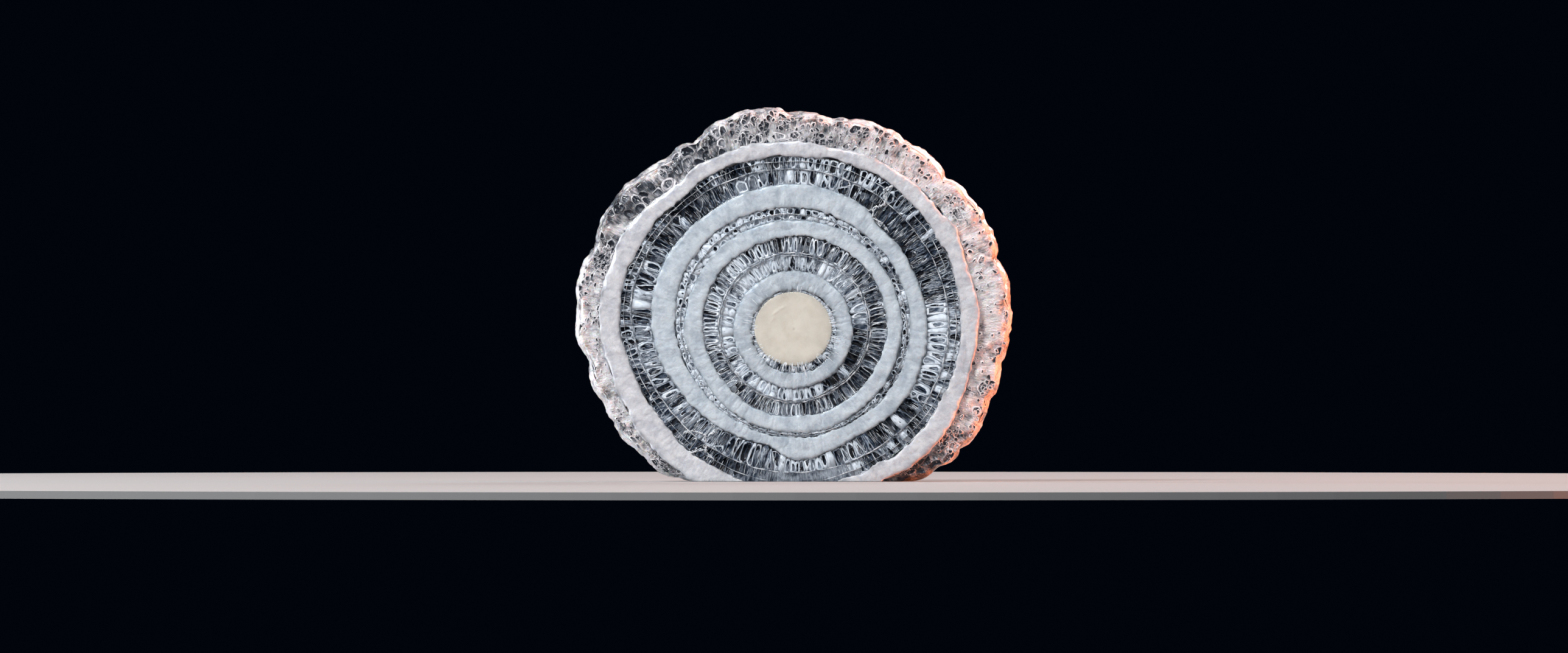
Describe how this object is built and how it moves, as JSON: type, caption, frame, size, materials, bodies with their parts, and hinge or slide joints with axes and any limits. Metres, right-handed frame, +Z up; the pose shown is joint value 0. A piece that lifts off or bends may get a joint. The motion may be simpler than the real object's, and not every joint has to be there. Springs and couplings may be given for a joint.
{
  "type": "hailstone slice",
  "caption": "Sawn slice of a large knobbly hailstone: a milky embryo in rings of clear and milky ice, standing on a small flat spot.",
  "frame": {"origin": "bottom centre of the bounding box, in the flat spot that the slice stands on", "axes": "+Z up; the sawn faces look along -Y and +Y, and the width runs along X"},
  "size_m": [0.0598, 0.008, 0.0511],
  "materials": {
    "clear_ice": "clear wet ice, knobbly outside and faintly ridged along the growth of its crystals",
    "milky_ice": "white ice clouded by fine air bubbles, softly lit through",
    "embryo_ice": "cream-white waxy ice, smooth and almost even"
  },
  "bodies": {
    "root": {"hailstone": "clear_ice"}
  },
  "joints": []
}
